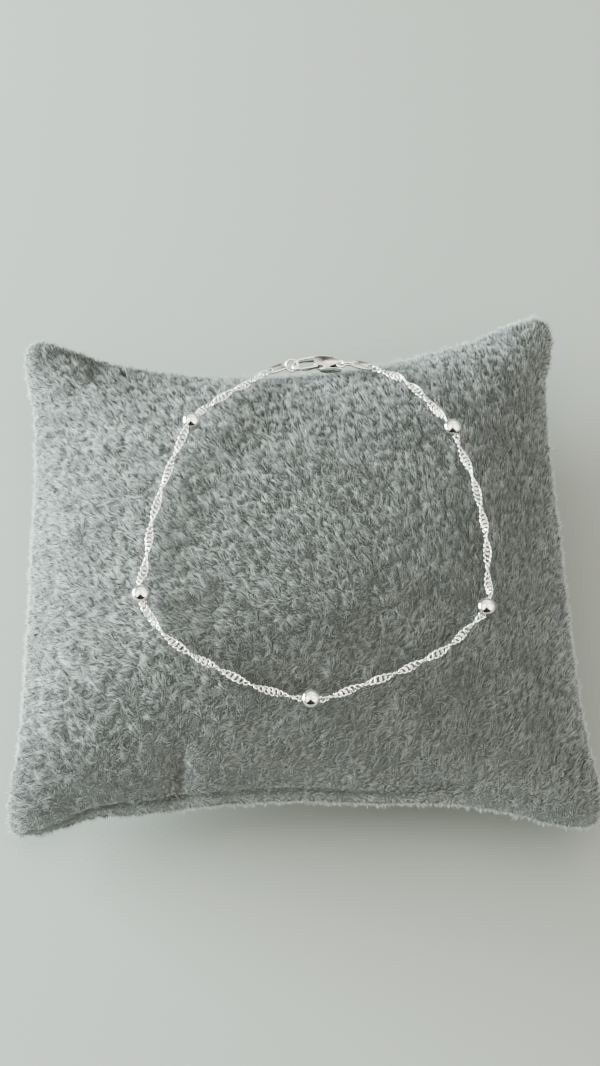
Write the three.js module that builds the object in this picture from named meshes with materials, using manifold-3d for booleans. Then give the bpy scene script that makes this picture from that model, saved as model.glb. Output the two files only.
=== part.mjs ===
// Beaded bracelet, fastened, lying on its square plush display cushion.
// Millimetres, +Z up, +X to the right, +Y away from the front edge of the cushion.
// The origin is on the ground under the middle of the cushion's box.
//
// A fine silver chain runs in one loop through five plain round beads. Its two ends hang on oval
// tags. A jump ring holds the left tag to the hook of a lobster clasp, and a connecting ring holds
// the right tag to the clasp's eye. The clasp's sprung lever turns on a rivet in the clasp's body.

import * as THREE from 'three';
import { mergeVertices } from 'three/addons/utils/BufferGeometryUtils.js';
import Module from 'manifold-3d';

const wasm = await Module();
wasm.setup();

// ---------------------------------------------------------------- driving dimensions

const CLEAR = 0.3; // gap between the soft cushion and what lies on it

const BEAD = { ball: 3.2, bore: 1.7, rows: 10, turns: 20 };
const CHAIN = { width: 1.2, sides: 8, steps: 80 };

const TAG = { length: 4.4, width: 1.8, thick: 0.3, eyelet: 0.98, margin: 0.66, roundness: 2.6 };
const RING = { wire: 0.42, tilt: 50, slack: 0.36 };
const JUMP_RING = { radius: 1.05 };
const CONNECTING_RING = { radius: 1.15 };

const CLASP = {
  halfLength: 5.0, // from the middle to the outside of the hook, and to the outside of the eye
  slot: 0.74, // width of the slot that the lever turns in
  cheeks: 1.6, // thickness of the two cheeks with the slot between them
  bevel: 0.16,
  eyeRadius: 0.76,
  eyeWire: 0.44,
  hookTurn: -0.35, // where the hook is furthest out, across the clasp
  line: -0.2, // the eye's place across the clasp
};
const RIVET = { x: 1.3, y: -0.3, shank: 0.56, head: 0.86, dome: 0.1, clear: 0.06 };
const LEVER = { plate: 0.62, boss: 0.62, tab: 1.3 };

// The cushion's four ears: plan place and height of the seam.
const EARS = {
  nearLeft: { x: -50, y: -48, z: 3.5 },
  nearRight: { x: 48, y: -51.5, z: 9 },
  farLeft: { x: -49.2, y: 47, z: 14.6 },
  farRight: { x: 48, y: 51.6, z: 11.3 },
};
// Each side: how far it pulls in between its ears, the seam's height there, how square the bend is.
const SIDES = {
  left: { pull: 4, z: 10, bend: 4.2 },
  right: { pull: 4.3, z: 13, bend: 3.8 },
  near: { pull: 6.4, z: 12, bend: 2 },
  far: { pull: 9, z: 8, bend: 2.5 },
};
const CUSHION = {
  crown: 11, // height of the filling over the seam
  belly: 11.8, // depth of the filling under the seam, before the ground flattens it
  fullness: 2.2,
  blunt: 3.5, // how much is sewn off the tip of each ear
  tipPower: 12,
  cells: 26,
  half: 48,
};

// The hand-sewn opening in the near side: a low lip of cloth along the seam.
const LIP = { from: -0.58, to: 0.36, out: 1.8, fade: 0.06, power: 30 };

// The clasp group lies over the far rim. It leans back, and its right end is the higher one.
const FASTENING = { x: 4.35, y: 38.8, z: 14.35, lean: -12, rise: -6.3, yaw: -5.2 };
const LEFT_TAG_TURN = 28;
const RIGHT_TAG_TURN = -20;

// The chain's way over the cushion from the left tag round to the right tag.
// Beads come at the end of each of the first five stretches.
const ROUTE = [
  [[-8.3, 32.7], [-11.6, 29.9], [-14.8, 26.5], [-17.9, 21.6]],
  [[-19.9, 17.2], [-21.6, 12.2], [-23.1, 7.2], [-24.2, 2.0], [-25.0, -3.2], [-25.6, -7.6], [-25.8, -12.2]],
  [[-24.1, -16.5], [-22.2, -19.4], [-19.1, -22], [-15.1, -24.8], [-10.3, -27.6], [-5.2, -29.8], [0.6, -31.4]],
  [[5.0, -30.4], [9.6, -28.9], [14.2, -27.1], [18.4, -25.3], [22.2, -23.0], [26.0, -19.6], [29.0, -16.1]],
  [[29.9, -12], [30.2, -7], [30.2, -2.4], [30.0, 2.4], [29.3, 7.0], [28.4, 11.6], [27.4, 15.4], [26.1, 19]],
  [[24.4, 23.2], [22.5, 26.7], [20.2, 29.9], [17.8, 32.8]],
];

// How finely the small metal pieces are faceted: sides round a section or a hole, rows along a bar.
const SIDES_OF = { bar: 10, pin: 20, wire: 8, ring: 26, eyelet: 16, tag: 28, boss: 24, cheek: 32 };
const ROWS_OF = { hook: 34, gate: 16, thumbRest: 10 };

const SILVER = { color: 0xd9dadb, roughness: 0.18, metalness: 1 };
const PLUSH = { color: 0x9aa09e, roughness: 0.95, metalness: 0 };

// ---------------------------------------------------------------- helpers

const rad = THREE.MathUtils.degToRad;
const lerp = THREE.MathUtils.lerp;

function welded(geometry) {
  geometry.deleteAttribute('normal');
  geometry.deleteAttribute('uv');
  return mergeVertices(geometry, 1e-4);
}

function signedVolume(geometry) {
  const p = geometry.getAttribute('position');
  const at = (i) => new THREE.Vector3().fromBufferAttribute(p, geometry.index.getX(i));
  let sum = 0;
  for (let i = 0; i < geometry.index.count; i += 3) {
    sum += at(i).dot(at(i + 1).cross(at(i + 2))) / 6;
  }
  return sum;
}

// Welds a closed geometry and turns its faces outwards.
function closed(source) {
  const geometry = welded(source);
  if (signedVolume(geometry) < 0) {
    const index = geometry.index;
    for (let i = 0; i < index.count; i += 3) {
      const a = index.getX(i);
      index.setX(i, index.getX(i + 1));
      index.setX(i + 1, a);
    }
  }
  return geometry;
}

function toSolid(source) {
  const geometry = closed(source);
  return new wasm.Manifold(new wasm.Mesh({
    numProp: 3,
    vertProperties: Float32Array.from(geometry.getAttribute('position').array),
    triVerts: Uint32Array.from(geometry.index.array),
  }));
}

function fromSolid(solid) {
  const mesh = solid.getMesh();
  const geometry = new THREE.BufferGeometry();
  geometry.setAttribute('position', new THREE.BufferAttribute(mesh.vertProperties, 3));
  geometry.setIndex(new THREE.BufferAttribute(mesh.triVerts, 1));
  return geometry;
}

function piece(name, geometry, finish) {
  const mesh = new THREE.Mesh(geometry, new THREE.MeshStandardMaterial(finish));
  mesh.name = name;
  return mesh;
}

function polygonShape(points) {
  return new THREE.Shape(points.map(([x, y]) => new THREE.Vector2(x, y)));
}

// A smooth closed outline through a few corners.
function smoothShape(corners, divisions) {
  const loop = new THREE.CatmullRomCurve3(corners.map(([x, y]) => new THREE.Vector3(x, y, 0)), true);
  return new THREE.Shape(loop.getPoints(divisions).slice(0, -1).map((p) => new THREE.Vector2(p.x, p.y)));
}

function circlePath(x, y, radius, sides) {
  const path = new THREE.Path();
  for (let k = 0; k < sides; k += 1) {
    const turn = (k / sides) * 2 * Math.PI;
    const px = x + radius * Math.cos(turn);
    const py = y + radius * Math.sin(turn);
    if (k === 0) path.moveTo(px, py);
    else path.lineTo(px, py);
  }
  path.closePath();
  return path;
}

// A plate of the given outline, centred on the XY plane.
function plate(shape, thick, bevel = 0) {
  const geometry = new THREE.ExtrudeGeometry(shape, {
    depth: thick - 2 * bevel,
    bevelEnabled: bevel > 0,
    bevelThickness: bevel,
    bevelSize: bevel,
    bevelOffset: -bevel,
    bevelSegments: 2,
  });
  return geometry.translate(0, 0, bevel - thick / 2);
}

// A round pin along Z with a low domed head at each end.
function pin(x, y, shank, head, length, dome) {
  const half = length / 2;
  const profile = [
    [0, -half - dome],
    [head * 0.32, -half - dome * 0.8],
    [head / 2, -half],
    [head / 2, -half + dome],
    [shank / 2, -half + dome],
    [shank / 2, half - dome],
    [head / 2, half - dome],
    [head / 2, half],
    [head * 0.32, half + dome * 0.8],
    [0, half + dome],
  ];
  const turned = new THREE.LatheGeometry(profile.map(([r, z]) => new THREE.Vector2(r, z)), SIDES_OF.pin);
  return turned.rotateX(Math.PI / 2).translate(x, y, 0);
}

// A curved bar in the XY plane. Each row gives a place on the bar's middle line, the bar's width
// in the plane and its thickness across it. The last row is a rounded tip.
function bar(rows, stations) {
  const sides = SIDES_OF.bar;
  const middle = new THREE.CatmullRomCurve3(rows.map((row) => new THREE.Vector3(row.x, row.y, 0)));
  const sizeAt = (t, key) => {
    const place = t * (rows.length - 1);
    const k = Math.min(Math.floor(place), rows.length - 2);
    return lerp(rows[k][key], rows[k + 1][key], place - k);
  };
  const positions = [];
  const index = [];
  for (let i = 0; i <= stations; i += 1) {
    const t = i / stations;
    const centre = middle.getPoint(t);
    const along = middle.getTangent(t);
    for (let k = 0; k < sides; k += 1) {
      const turn = ((k + 0.5) / sides) * 2 * Math.PI;
      const across = (sizeAt(t, 'wide') / 2) * Math.cos(turn);
      const up = (sizeAt(t, 'thick') / 2) * Math.sin(turn);
      positions.push(centre.x - along.y * across, centre.y + along.x * across, up);
    }
  }
  for (const t of [0, 1]) {
    const end = middle.getPoint(t);
    positions.push(end.x, end.y, 0);
  }
  const startCap = (stations + 1) * sides;
  for (let k = 0; k < sides; k += 1) {
    const next = (k + 1) % sides;
    for (let i = 0; i < stations; i += 1) {
      const a = i * sides;
      const b = a + sides;
      index.push(a + k, a + next, b + k, a + next, b + next, b + k);
    }
    const last = stations * sides;
    index.push(startCap, next, k, startCap + 1, last + k, last + next);
  }
  const geometry = new THREE.BufferGeometry();
  geometry.setAttribute('position', new THREE.Float32BufferAttribute(positions, 3));
  geometry.setIndex(index);
  return geometry;
}

// ---------------------------------------------------------------- display cushion

function blendEars(u, v, key) {
  const near = lerp(EARS.nearLeft[key], EARS.nearRight[key], (u + 1) / 2);
  const far = lerp(EARS.farLeft[key], EARS.farRight[key], (u + 1) / 2);
  return lerp(near, far, (v + 1) / 2);
}

// Height of the sewn seam's sheet, which the filling bulges from on both sides.
function seamHeight(u, v) {
  const middle = (SIDES.left.z + SIDES.right.z + SIDES.near.z + SIDES.far.z) / 4;
  const onSides = lerp(SIDES.left.z, SIDES.right.z, (u + 1) / 2) * u * u
    + lerp(SIDES.near.z, SIDES.far.z, (v + 1) / 2) * v * v;
  const between = onSides / Math.max(u * u + v * v, 1e-9);
  const reach = Math.max(Math.abs(u), Math.abs(v)) ** 2;
  const toEars = (u * v) ** 2;
  return lerp(lerp(middle, between, reach), blendEars(u, v, 'z'), toEars);
}

// How far the sewn lip stands out of the near seam.
function lipAt(u) {
  const starts = THREE.MathUtils.smoothstep(u, LIP.from - LIP.fade, LIP.from + LIP.fade);
  const ends = THREE.MathUtils.smoothstep(u, LIP.to - LIP.fade, LIP.to + LIP.fade);
  return LIP.out * (starts - ends);
}

// A point of the cushion's skin. u and v run from -1 to 1 between its sides.
function skin(u, v, isTop) {
  const ushape = u < 0 ? SIDES.left : SIDES.right;
  const vshape = v < 0 ? SIDES.near : SIDES.far;
  const tip = CUSHION.blunt * Math.abs(u * v) ** CUSHION.tipPower;
  const x = blendEars(u, v, 'x') - u * ushape.pull * (1 - Math.abs(v) ** ushape.bend) - Math.sign(u) * tip;
  const y = blendEars(u, v, 'y') - v * vshape.pull * (1 - Math.abs(u) ** vshape.bend) - Math.sign(v) * tip;
  const lip = v < 0 ? lipAt(u) * Math.abs(v) ** LIP.power : 0;
  const swell = Math.sqrt((1 - Math.abs(u) ** CUSHION.fullness) * (1 - Math.abs(v) ** CUSHION.fullness));
  const seam = seamHeight(u, v);
  const z = isTop ? seam + CUSHION.crown * swell : Math.max(0, seam - CUSHION.belly * swell);
  return new THREE.Vector3(x, y - lip, z);
}

function cushionGeometry() {
  const n = CUSHION.cells;
  const place = (k) => Math.sin((Math.PI / 2) * (k / (n / 2) - 1));
  const positions = [];
  const index = [];
  for (const isTop of [true, false]) {
    const first = positions.length / 3;
    for (let j = 0; j <= n; j += 1) {
      for (let i = 0; i <= n; i += 1) positions.push(...skin(place(i), place(j), isTop).toArray());
    }
    for (let j = 0; j < n; j += 1) {
      for (let i = 0; i < n; i += 1) {
        const a = first + j * (n + 1) + i;
        const b = a + 1;
        const c = a + n + 1;
        const d = c + 1;
        if (isTop) index.push(a, b, d, a, d, c);
        else index.push(a, d, b, a, c, d);
      }
    }
  }
  const geometry = new THREE.BufferGeometry();
  geometry.setAttribute('position', new THREE.Float32BufferAttribute(positions, 3));
  geometry.setIndex(index);
  return geometry;
}

// The point at a height over the skin, measured square to it, above the plan place x, y of the skin.
function overCushion(x, y, lift) {
  let u = x / CUSHION.half;
  let v = y / CUSHION.half;
  for (let k = 0; k < 40; k += 1) {
    const p = skin(u, v, true);
    u = THREE.MathUtils.clamp(u + (x - p.x) / CUSHION.half, -0.99, 0.99);
    v = THREE.MathUtils.clamp(v + (y - p.y) / CUSHION.half, -0.99, 0.99);
  }
  const step = 1e-3;
  const alongU = skin(u + step, v, true).sub(skin(u - step, v, true));
  const alongV = skin(u, v + step, true).sub(skin(u, v - step, true));
  const outward = alongU.cross(alongV).normalize();
  return skin(u, v, true).addScaledVector(outward, lift);
}

// ---------------------------------------------------------------- beads and chain

function beadGeometry() {
  const radius = BEAD.ball / 2;
  const mouth = Math.asin(BEAD.bore / BEAD.ball);
  const profile = [];
  for (let k = 0; k <= BEAD.rows; k += 1) {
    const turn = lerp(mouth, Math.PI - mouth, k / BEAD.rows);
    profile.push(new THREE.Vector2(radius * Math.sin(turn), -radius * Math.cos(turn)));
  }
  profile.push(profile[0].clone());
  return new THREE.LatheGeometry(profile, BEAD.turns);
}

function chainSection() {
  const points = [];
  for (let k = 0; k < CHAIN.sides; k += 1) {
    const turn = ((k + 0.5) / CHAIN.sides) * 2 * Math.PI;
    points.push([(CHAIN.width / 2) * Math.cos(turn), (CHAIN.width / 2) * Math.sin(turn)]);
  }
  return polygonShape(points);
}

// ---------------------------------------------------------------- clasp group

function tagGeometry() {
  const outline = [];
  for (let k = 0; k < SIDES_OF.tag; k += 1) {
    const turn = (k / SIDES_OF.tag) * 2 * Math.PI;
    const bulge = (c) => Math.sign(c) * Math.abs(c) ** (2 / TAG.roundness);
    outline.push([(TAG.length / 2) * bulge(Math.cos(turn)), (TAG.width / 2) * bulge(Math.sin(turn))]);
  }
  const shape = polygonShape(outline);
  for (const side of [-1, 1]) {
    shape.holes.push(circlePath(side * (TAG.length / 2 - TAG.margin), 0, TAG.eyelet / 2, SIDES_OF.eyelet));
  }
  return plate(shape, TAG.thick);
}

function ringGeometry(radius) {
  return new THREE.TorusGeometry(radius, RING.wire / 2, SIDES_OF.wire, SIDES_OF.ring);
}

// The clasp's back runs from the eye over the top and round the hook to its nose.
const HOOK = [
  { x: 3.3, y: 0.1, wide: 0.7, thick: 0.75 },
  { x: 2.95, y: 0.5, wide: 1.0, thick: 1.15 },
  { x: 2.0, y: 1.02, wide: 1.15, thick: 1.6 },
  { x: 0.6, y: 1.28, wide: 1.12, thick: 1.62 },
  { x: -1.0, y: 1.26, wide: 0.95, thick: 1.36 },
  { x: -2.6, y: 1.04, wide: 0.8, thick: 1.08 },
  { x: -3.8, y: 0.66, wide: 0.74, thick: 0.94 },
  { x: -4.44, y: 0.16, wide: 0.7, thick: 0.84 },
  { x: 0.35 - CLASP.halfLength, y: CLASP.hookTurn, wide: 0.7, thick: 0.8 },
  { x: -4.42, y: -0.98, wide: 0.68, thick: 0.78 },
  { x: -3.85, y: -1.36, wide: 0.64, thick: 0.74 },
  { x: -3.15, y: -1.44, wide: 0.5, thick: 0.6 },
];

function claspBodyGeometry() {
  const cheekCorners = [
    [-0.9, 1.0], [-0.75, -0.2], [-0.1, -0.98], [1.2, -1.3], [2.6, -1.1], [3.4, -0.55], [3.4, 0.1], [1.6, 1.2],
  ];
  const slotCorners = [
    [-1.6, 0.55], [0.4, 0.62], [2.0, 0.5], [2.75, 0.05], [2.9, -0.7], [3.3, -2.2], [-1.6, -2.2],
  ];
  const eye = new THREE.TorusGeometry(CLASP.eyeRadius, CLASP.eyeWire / 2, SIDES_OF.bar, SIDES_OF.boss);
  eye.translate(CLASP.halfLength - CLASP.eyeRadius - CLASP.eyeWire / 2, CLASP.line, 0);
  const cheeks = toSolid(plate(smoothShape(cheekCorners, SIDES_OF.cheek), CLASP.cheeks, CLASP.bevel));
  const slot = toSolid(plate(polygonShape(slotCorners), CLASP.slot));
  const rivet = toSolid(pin(RIVET.x, RIVET.y, RIVET.shank, RIVET.head, CLASP.cheeks, RIVET.dome));
  const back = toSolid(bar(HOOK, ROWS_OF.hook));
  return fromSolid(cheeks.add(back).subtract(slot).add(toSolid(eye)).add(rivet));
}

function claspLeverGeometry() {
  const gate = [
    { x: 0.9, y: -0.55, wide: 0.6, thick: LEVER.plate },
    { x: 0.0, y: -0.76, wide: 0.6, thick: LEVER.plate },
    { x: -0.9, y: -1.04, wide: 0.6, thick: LEVER.plate },
    { x: -1.6, y: -1.22, wide: 0.62, thick: 0.8 },
    { x: -2.3, y: -1.36, wide: 0.58, thick: 0.78 },
    { x: -2.98, y: -1.43, wide: 0.46, thick: 0.56 },
  ];
  const thumbRest = [
    { x: 0.4, y: -1.82, wide: 0.3, thick: 0.9 },
    { x: 1.2, y: -1.86, wide: 0.38, thick: LEVER.tab },
    { x: 2.6, y: -1.88, wide: 0.38, thick: LEVER.tab },
    { x: 4.2, y: -1.86, wide: 0.3, thick: 0.9 },
  ];
  const neck = [[0.75, -0.4], [2.05, -0.5], [2.3, -1.9], [1.0, -1.9]];
  const boss = new THREE.CylinderGeometry(LEVER.boss, LEVER.boss, LEVER.plate, SIDES_OF.boss);
  boss.rotateX(Math.PI / 2).translate(RIVET.x, RIVET.y, 0);
  const boreRadius = RIVET.shank / 2 + RIVET.clear;
  const bore = new THREE.CylinderGeometry(boreRadius, boreRadius, 2 * LEVER.plate, SIDES_OF.boss);
  bore.rotateX(Math.PI / 2).translate(RIVET.x, RIVET.y, 0);
  const lever = toSolid(boss)
    .add(toSolid(bar(gate, ROWS_OF.gate)))
    .add(toSolid(plate(polygonShape(neck), LEVER.plate)))
    .add(toSolid(bar(thumbRest, ROWS_OF.thumbRest)))
    .subtract(toSolid(bore));
  return fromSolid(lever);
}

// ---------------------------------------------------------------- assembly

const fastening = new THREE.Group();
fastening.position.set(FASTENING.x, FASTENING.y, FASTENING.z);
fastening.rotation.set(rad(FASTENING.lean), rad(FASTENING.rise), rad(FASTENING.yaw), 'ZYX');
fastening.add(piece('clasp_body', claspBodyGeometry(), SILVER));
fastening.add(piece('clasp_lever', claspLeverGeometry(), SILVER));

// The jump ring's wire lies just inside the hook, and the connecting ring's in the eye.
const hookWidth = HOOK.find((row) => row.y === CLASP.hookTurn).wide;
const hookSeat = -CLASP.halfLength + hookWidth + RING.slack + RING.wire / 2;
const jumpRing = piece('jump_ring', closed(ringGeometry(JUMP_RING.radius)), SILVER);
jumpRing.position.set(hookSeat - JUMP_RING.radius, CLASP.hookTurn, 0);
jumpRing.rotation.x = rad(RING.tilt);
fastening.add(jumpRing);

const eyeSeat = CLASP.halfLength - CLASP.eyeRadius - CLASP.eyeWire / 2;
const connectingRing = piece('connecting_ring', closed(ringGeometry(CONNECTING_RING.radius)), SILVER);
connectingRing.position.set(eyeSeat + CONNECTING_RING.radius, CLASP.line, 0);
connectingRing.rotation.x = -rad(RING.tilt);
fastening.add(connectingRing);

// Hangs a tag on a ring by its inner eyelet. Returns where the chain meets its outer end.
function hangTag(name, eyeletX, eyeletY, side, turnDegrees) {
  const turn = rad(turnDegrees);
  const direction = new THREE.Vector3(side * Math.cos(turn), side * Math.sin(turn), 0);
  const eyelet = new THREE.Vector3(eyeletX, eyeletY, 0);
  const tag = piece(name, closed(tagGeometry()), SILVER);
  tag.position.copy(eyelet).addScaledVector(direction, TAG.length / 2 - TAG.margin);
  tag.rotation.z = turn;
  fastening.add(tag);
  return eyelet.addScaledVector(direction, TAG.length - TAG.margin + 2 * CLEAR);
}

const leftEnd = hangTag('end_tag_left', hookSeat - 2 * JUMP_RING.radius, CLASP.hookTurn, -1, LEFT_TAG_TURN);
const rightEnd = hangTag(
  'end_tag_right', eyeSeat + 2 * CONNECTING_RING.radius, CLASP.line, 1, RIGHT_TAG_TURN,
);

fastening.updateMatrixWorld(true);
const bracelet = new THREE.Group();
bracelet.add(fastening);

// The chain lies on the cushion, rises to each bead's middle and runs straight through its bore.
const chainLift = CLEAR + CHAIN.width / 2;
const beadLift = CLEAR + BEAD.ball / 2;
const lying = ROUTE.map((stretch, k) => stretch.map(([x, y], i) => {
  const atBead = k < ROUTE.length - 1 && i === stretch.length - 1;
  return { atBead, point: overCushion(x, y, atBead ? beadLift : chainLift) };
})).flat();
const beadSeats = [];
const routePoints = [fastening.localToWorld(leftEnd)];
lying.forEach(({ atBead, point }, i) => {
  if (atBead) {
    const along = lying[i + 1].point.clone().sub(lying[i - 1].point).normalize();
    const halfBore = along.clone().multiplyScalar(BEAD.ball / 2);
    routePoints.push(point.clone().sub(halfBore), point, point.clone().add(halfBore));
    beadSeats.push({ point, along });
  } else {
    routePoints.push(point);
  }
});
routePoints.push(fastening.localToWorld(rightEnd));

bracelet.add(piece('chain', closed(new THREE.ExtrudeGeometry(chainSection(), {
  steps: CHAIN.steps,
  bevelEnabled: false,
  extrudePath: new THREE.CatmullRomCurve3(routePoints, false, 'centripetal'),
})), SILVER));

beadSeats.forEach(({ point, along }, k) => {
  const bead = piece(`bead_${k + 1}`, closed(beadGeometry()), SILVER);
  bead.position.copy(point);
  bead.quaternion.setFromUnitVectors(new THREE.Vector3(0, 1, 0), along);
  bracelet.add(bead);
});

const part = new THREE.Group();
const display = new THREE.Group();
display.add(piece('display_cushion', closed(cushionGeometry()), PLUSH));
display.add(bracelet);
part.add(display);

// The whole display is centred over the origin.
const box = new THREE.Box3().setFromObject(display);
const middle = box.getCenter(new THREE.Vector3());
display.position.set(-middle.x, -middle.y, -box.min.z);

export default part;
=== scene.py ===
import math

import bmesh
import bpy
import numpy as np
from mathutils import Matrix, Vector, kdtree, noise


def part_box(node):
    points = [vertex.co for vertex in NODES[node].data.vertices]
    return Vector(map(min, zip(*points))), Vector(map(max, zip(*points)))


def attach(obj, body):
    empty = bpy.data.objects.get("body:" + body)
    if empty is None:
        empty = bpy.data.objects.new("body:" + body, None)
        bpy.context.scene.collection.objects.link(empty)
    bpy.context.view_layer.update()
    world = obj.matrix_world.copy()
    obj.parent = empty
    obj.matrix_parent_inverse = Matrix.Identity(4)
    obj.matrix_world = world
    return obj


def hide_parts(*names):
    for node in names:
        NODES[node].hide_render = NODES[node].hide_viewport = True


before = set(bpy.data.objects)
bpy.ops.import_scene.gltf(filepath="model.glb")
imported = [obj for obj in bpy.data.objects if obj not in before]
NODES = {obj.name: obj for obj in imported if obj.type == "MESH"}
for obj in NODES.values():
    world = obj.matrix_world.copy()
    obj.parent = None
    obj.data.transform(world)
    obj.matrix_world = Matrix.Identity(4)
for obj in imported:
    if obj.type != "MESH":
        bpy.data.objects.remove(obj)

# %% [markdown]
# # A beaded bracelet on its display cushion
# The object is a fine silver chain with five plain round beads, fastened by a lobster clasp and laid
# in a loop on a small square cushion of light grey plush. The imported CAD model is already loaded:
# it gives every size and place here, in metres, and it keeps the collision and the clasp's hinge.
# Each cell below dresses one piece of it. First come the units and the names of the two bodies that
# the pieces ride on.

MM = 0.001
DISPLAY, LEVER = "bracelet_on_cushion", "clasp_lever"
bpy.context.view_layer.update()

# %% [markdown]
# ## Helpers
# A mesh in Blender is data, and an object shows it. `piece` makes the object once a shape is done,
# puts it on its body and gives it its material. `merged_copy` gives a copy of a CAD node whose
# loose triangles are joined into one skin, which is what every operator needs.

# %% Helpers for pieces
def piece(name, mesh, material, body=DISPLAY, replaces=()):
    mesh.materials.clear()
    mesh.materials.append(material)
    made = bpy.data.objects.new(name, mesh)
    bpy.context.scene.collection.objects.link(made)
    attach(made, body)
    if replaces:
        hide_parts(*replaces)
    print(f"{name}: {sum(len(p.vertices) - 2 for p in mesh.polygons)} triangles on {body}")
    return made


def finished_mesh(name, bm, sharp_degrees=180):
    bmesh.ops.recalc_face_normals(bm, faces=bm.faces)
    mesh = bpy.data.meshes.new(name)
    bm.to_mesh(mesh)
    bm.free()
    mesh.shade_smooth()
    if sharp_degrees < 180:
        mesh.set_sharp_from_angle(angle=math.radians(sharp_degrees))
    return mesh


def merged_copy(node):
    bm = bmesh.new()
    bm.from_mesh(NODES[node].data)
    bmesh.ops.remove_doubles(bm, verts=bm.verts, dist=0.002 * MM)
    return bm


def points_of(node):
    flat = np.empty(len(NODES[node].data.vertices) * 3, np.float32)
    NODES[node].data.vertices.foreach_get("co", flat)
    return flat.reshape(-1, 3).astype(float)


def vertex_arrays(mesh):
    place, normal = (np.empty(len(mesh.vertices) * 3, np.float32) for _ in range(2))
    mesh.vertices.foreach_get("co", place)
    mesh.vertices.foreach_get("normal", normal)
    return place.reshape(-1, 3).astype(float), normal.reshape(-1, 3).astype(float)


def unit(v):
    return v / np.maximum(np.linalg.norm(v, axis=1), 1e-12)[:, None]


def middle_of(node):
    low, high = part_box(node)
    return (low + high) / 2


print("nodes:", ", ".join(sorted(NODES)))

# %% [markdown]
# ## Materials
# Colours are written as sRGB hex values, as a colour picker gives them, and Blender's sockets want
# linear light, so one function turns them. One more adds a node with its settings, values and links.

# %% Helpers for materials
def linear(hex_colour):
    shares = [int(hex_colour[i:i + 2], 16) / 255 for i in (1, 3, 5)]
    return (*[s / 12.92 if s <= 0.04045 else ((s + 0.055) / 1.055) ** 2.4 for s in shares], 1)


def add(tree, kind, inputs=(), **settings):
    made = tree.nodes.new(kind)
    for key, value in settings.items():
        setattr(made, key, value)
    for key, value in dict(inputs).items():
        if isinstance(value, bpy.types.NodeSocket):
            tree.links.new(value, made.inputs[key])
        else:
            made.inputs[key].default_value = value
    return made


def new_material(name):
    made = bpy.data.materials.new(name)
    made.use_nodes = True
    made.node_tree.nodes.clear()
    return made, made.node_tree


# %% [markdown]
# ### Polished silver
# Sterling silver, drawn to wire or cast, then tumbled until it shines. It is the whitest of metals,
# and all that the eye reads of it are reflections, so the roughness matters most. Tumbling leaves
# faint patches, which a noise on the roughness gives.

# %% Polished silver
def polished_silver():
    material, tree = new_material("silver_tumbled_polish")
    place = add(tree, "ShaderNodeTexCoord")
    patches = add(tree, "ShaderNodeTexNoise", {
        "Vector": place.outputs["Object"], "Scale": 1 / (0.8 * MM), "Detail": 2.0,
    })
    rough = add(tree, "ShaderNodeMapRange", {
        "Value": patches.outputs["Fac"], "To Min": 0.03, "To Max": 0.1,
    })
    shader = add(tree, "ShaderNodeBsdfPrincipled", {
        "Base Color": linear("#F1F0EC"), "Metallic": 1.0, "Roughness": rough.outputs["Result"],
    })
    add(tree, "ShaderNodeOutputMaterial", {"Surface": shader.outputs["BSDF"]})
    return material


SILVER = polished_silver()

# %% [markdown]
# ### Plush cloth
# The cushion's cover is knitted polyester plush: a backing cloth with a short dense pile. The pile is
# made of real fibres further down. Its material reads the fibres' own UV map. One way it runs from the
# root, darkened with painted shade for the shade down among the fibres, to the bright tip. The other
# way it runs through the fibres' shades, which differ a little at random and carry painted light and
# shade in places. The backing shows only in the gaps, where little light reaches, so its colour is
# painted darker as well, as painted shade.

# %% Plush pile and its backing
def plush_pile():
    material, tree = new_material("plush_pile_polyester")
    place = add(tree, "ShaderNodeUVMap", uv_map="OFBake")
    axes = add(tree, "ShaderNodeSeparateXYZ", {"Vector": place.outputs["UV"]})
    # The darker colour at the root is painted shade, for the shade that falls down among the fibres.
    along = add(tree, "ShaderNodeMix", {
        "Factor": axes.outputs["Y"], "A": linear("#464844"), "B": linear("#ABAFA6"),
    }, data_type="RGBA")
    shade = add(tree, "ShaderNodeMapRange", {
        "Value": axes.outputs["X"], "To Min": 0.5, "To Max": 1.2,
    })
    colour = add(tree, "ShaderNodeVectorMath", {
        0: along.outputs[2], "Scale": shade.outputs["Result"],
    }, operation="SCALE")
    shader = add(tree, "ShaderNodeBsdfPrincipled", {
        "Base Color": colour.outputs["Vector"], "Roughness": 0.85,
        "Sheen Weight": 0.5, "Sheen Roughness": 0.45,
    })
    add(tree, "ShaderNodeOutputMaterial", {"Surface": shader.outputs["BSDF"]})
    return material


def plush_backing():
    material, tree = new_material("plush_backing_knit")
    place = add(tree, "ShaderNodeTexCoord")
    knit = add(tree, "ShaderNodeTexNoise", {
        "Vector": place.outputs["Object"], "Scale": 1 / (0.5 * MM), "Detail": 3.0,
    })
    # The backing's dark colour is painted shade, as little light reaches it in the gaps.
    colour = add(tree, "ShaderNodeMix", {
        "Factor": knit.outputs["Fac"], "A": linear("#484C48"), "B": linear("#585C57"),
    }, data_type="RGBA")
    bump = add(tree, "ShaderNodeBump", {
        "Height": knit.outputs["Fac"], "Strength": 0.6, "Distance": 0.2 * MM,
    })
    shader = add(tree, "ShaderNodeBsdfPrincipled", {
        "Base Color": colour.outputs[2], "Roughness": 0.95, "Normal": bump.outputs["Normal"],
    })
    add(tree, "ShaderNodeOutputMaterial", {"Surface": shader.outputs["BSDF"]})
    return material


PILE_FINISH, BACKING = plush_pile(), plush_backing()

# %% [markdown]
# ## The chain
# Past a hundred tiny links the CAD model holds the chain as one tube, so the links are made here.
# It is a twisted curb chain: each link is a flattened ring with a half twist, turned on from the last
# one, so the chain is by turns broad, where the holes show, and narrow, where it stands on edge.
# The tube's own vertices give the route: they lie in rings, and each ring's middle is on the line.

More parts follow.
